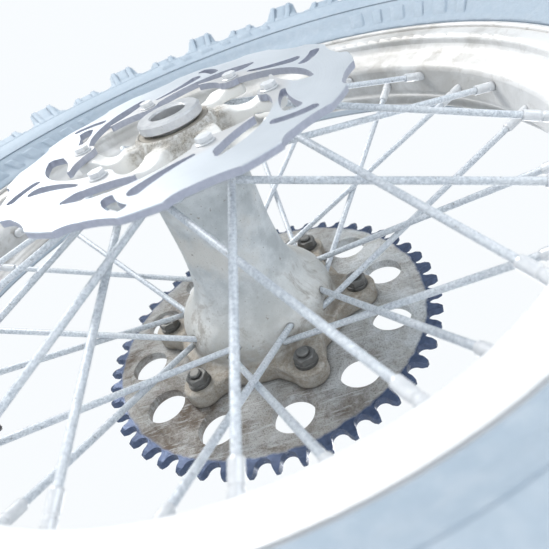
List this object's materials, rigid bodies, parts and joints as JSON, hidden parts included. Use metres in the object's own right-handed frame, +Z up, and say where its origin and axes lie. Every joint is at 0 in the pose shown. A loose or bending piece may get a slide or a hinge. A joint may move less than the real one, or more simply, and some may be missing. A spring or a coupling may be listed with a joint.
{
  "type": "spoked wheel",
  "caption": "Off-road motorcycle rear wheel: knobbly tyre on a laced rim, cast hub on ball bearings, waved brake disc on one side and chain sprocket on the other.",
  "frame": {"origin": "centre of the wheel: on the axle line, in the middle plane of the rim", "axes": "+Y along the axle from the brake disc to the sprocket, +Z up, +X along the ground"},
  "size_m": [0.676, 0.1904, 0.676],
  "materials": {
    "tyre_rubber": "matt",
    "tube_rubber": "matt",
    "tape_rubber": "matt",
    "seal_rubber": "matt",
    "rim_aluminium": "satin",
    "hub_casting": "satin",
    "collar_aluminium": "turned",
    "spoke_steel": "satin",
    "nipple_plating": "satin",
    "disc_steel": "ground",
    "sprocket_steel": "worn",
    "bolt_steel": "worn",
    "bearing_steel": "ground",
    "spacer_steel": "satin",
    "valve_brass": "satin",
    "cap_plastic": "matt"
  },
  "bodies": {
    "axle_group": {"axle_spacer_tube": "spacer_steel", "collar_disc_side": "collar_aluminium", "collar_sprocket_side": "collar_aluminium", "bearing_inner_race_disc_side": "bearing_steel", "bearing_inner_race_sprocket_side": "bearing_steel"},
    "ball_set_disc_side": {"bearing_balls_disc_side": "bearing_steel", "bearing_cage_disc_side": "spacer_steel"},
    "ball_set_sprocket_side": {"bearing_balls_sprocket_side": "bearing_steel", "bearing_cage_sprocket_side": "spacer_steel"},
    "valve_pin": {"valve_core_pin": "valve_brass"},
    "wheel": {"tyre": "tyre_rubber", "inner_tube": "tube_rubber", "rim": "rim_aluminium", "rim_tape": "tape_rubber", "hub": "hub_casting", "bearing_circlip": "spacer_steel", "brake_disc": "disc_steel", "disc_bolts": "nipple_plating", "sprocket": "sprocket_steel", "sprocket_bolts": "bolt_steel", "sprocket_washers": "bolt_steel", "sprocket_nuts": "bolt_steel", "valve_stem": "valve_brass", "valve_core_sleeve": "valve_brass", "valve_nut": "valve_brass", "valve_cap": "cap_plastic", "rim_lock_shoe": "tape_rubber", "rim_lock_stud": "bolt_steel", "rim_lock_washer": "bolt_steel", "rim_lock_nut": "bolt_steel", "spokes_disc_inner": "spoke_steel", "nipples_disc_inner": "nipple_plating", "spokes_disc_outer": "spoke_steel", "nipples_disc_outer": "nipple_plating", "spokes_sprocket_inner": "spoke_steel", "nipples_sprocket_inner": "nipple_plating", "spokes_sprocket_outer": "spoke_steel", "nipples_sprocket_outer": "nipple_plating", "bearing_outer_race_disc_side": "bearing_steel", "bearing_shields_disc_side": "seal_rubber", "oil_seal_disc_side": "seal_rubber", "bearing_outer_race_sprocket_side": "bearing_steel", "bearing_shields_sprocket_side": "seal_rubber", "oil_seal_sprocket_side": "seal_rubber"}
  },
  "joints": [
    {"name": "wheel_spin", "type": "hinge", "parent": "axle_group", "child": "wheel", "pos_m": [0, 0, 0], "axis": [0, 1, 0], "continuous": true},
    {"name": "ball_orbit_disc_side", "type": "hinge", "parent": "axle_group", "child": "ball_set_disc_side", "pos_m": [0, -0.0545, 0], "axis": [0, 1, 0], "continuous": true},
    {"name": "ball_orbit_sprocket_side", "type": "hinge", "parent": "axle_group", "child": "ball_set_sprocket_side", "pos_m": [0, 0.0895, 0], "axis": [0, 1, 0], "continuous": true},
    {"name": "valve_pin_press", "type": "slide", "parent": "wheel", "child": "valve_pin", "axis": [-0.6756, 0, -0.7373], "range_m": [0, 0.0015]}
  ],
  "couplings": [
    {"joint": "ball_orbit_disc_side", "follows": "wheel_spin", "ratio": 0.6},
    {"joint": "ball_orbit_sprocket_side", "follows": "wheel_spin", "ratio": 0.6}
  ]
}
